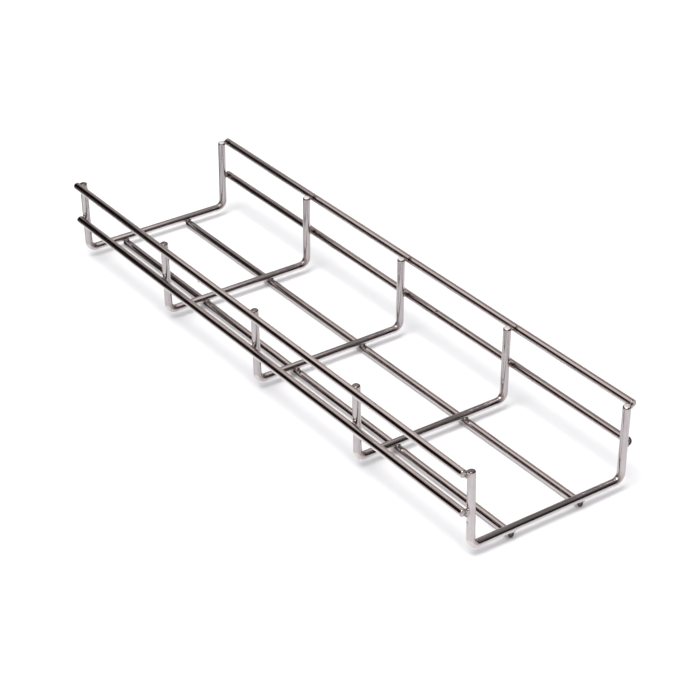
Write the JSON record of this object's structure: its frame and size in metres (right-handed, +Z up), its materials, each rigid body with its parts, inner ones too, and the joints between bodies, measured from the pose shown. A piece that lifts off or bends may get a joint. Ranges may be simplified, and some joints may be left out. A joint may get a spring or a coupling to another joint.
{
  "type": "cable tray",
  "caption": "Short section of open wire-basket cable tray: U-shaped cross wires welded inside straight long wires, open along the top and at both ends.",
  "frame": {"origin": "centre of the tray's footprint, on the plane that the floor wires rest on", "axes": "+X along the tray from its rear end, where the long wires stand 0.6 mm past the last cross wire's centreline, to its front end, where they are cut flush with it; +Y to the left side; +Z up, out of the open top"},
  "size_m": [0.4046, 0.118, 0.0556],
  "materials": {
    "cross_wire_steel": "bright polished stainless steel wire, mirror-like along straight lengths, with faint drawing lines and slightly dull at the bends",
    "long_wire_steel": "bright polished stainless steel wire, mirror-like, with faint lengthwise drawing lines and a few small nicks",
    "weld_steel": "electropolished weld metal, duller and darker than the wires"
  },
  "bodies": {
    "root": {"cross_wire_1": "cross_wire_steel", "cross_wire_2": "cross_wire_steel", "cross_wire_3": "cross_wire_steel", "cross_wire_4": "cross_wire_steel", "cross_wire_5": "cross_wire_steel", "floor_wire_left": "long_wire_steel", "floor_wire_right": "long_wire_steel", "lower_side_wire_left": "long_wire_steel", "lower_side_wire_right": "long_wire_steel", "upper_side_wire_left": "long_wire_steel", "upper_side_wire_right": "long_wire_steel", "floor_welds_1": "weld_steel", "floor_welds_2": "weld_steel", "floor_welds_3": "weld_steel", "floor_welds_4": "weld_steel", "floor_welds_5": "weld_steel", "left_side_welds_1": "weld_steel", "left_side_welds_2": "weld_steel", "left_side_welds_3": "weld_steel", "left_side_welds_4": "weld_steel", "left_side_welds_5": "weld_steel", "right_side_welds_1": "weld_steel", "right_side_welds_2": "weld_steel", "right_side_welds_3": "weld_steel", "right_side_welds_4": "weld_steel", "right_side_welds_5": "weld_steel"}
  },
  "joints": []
}
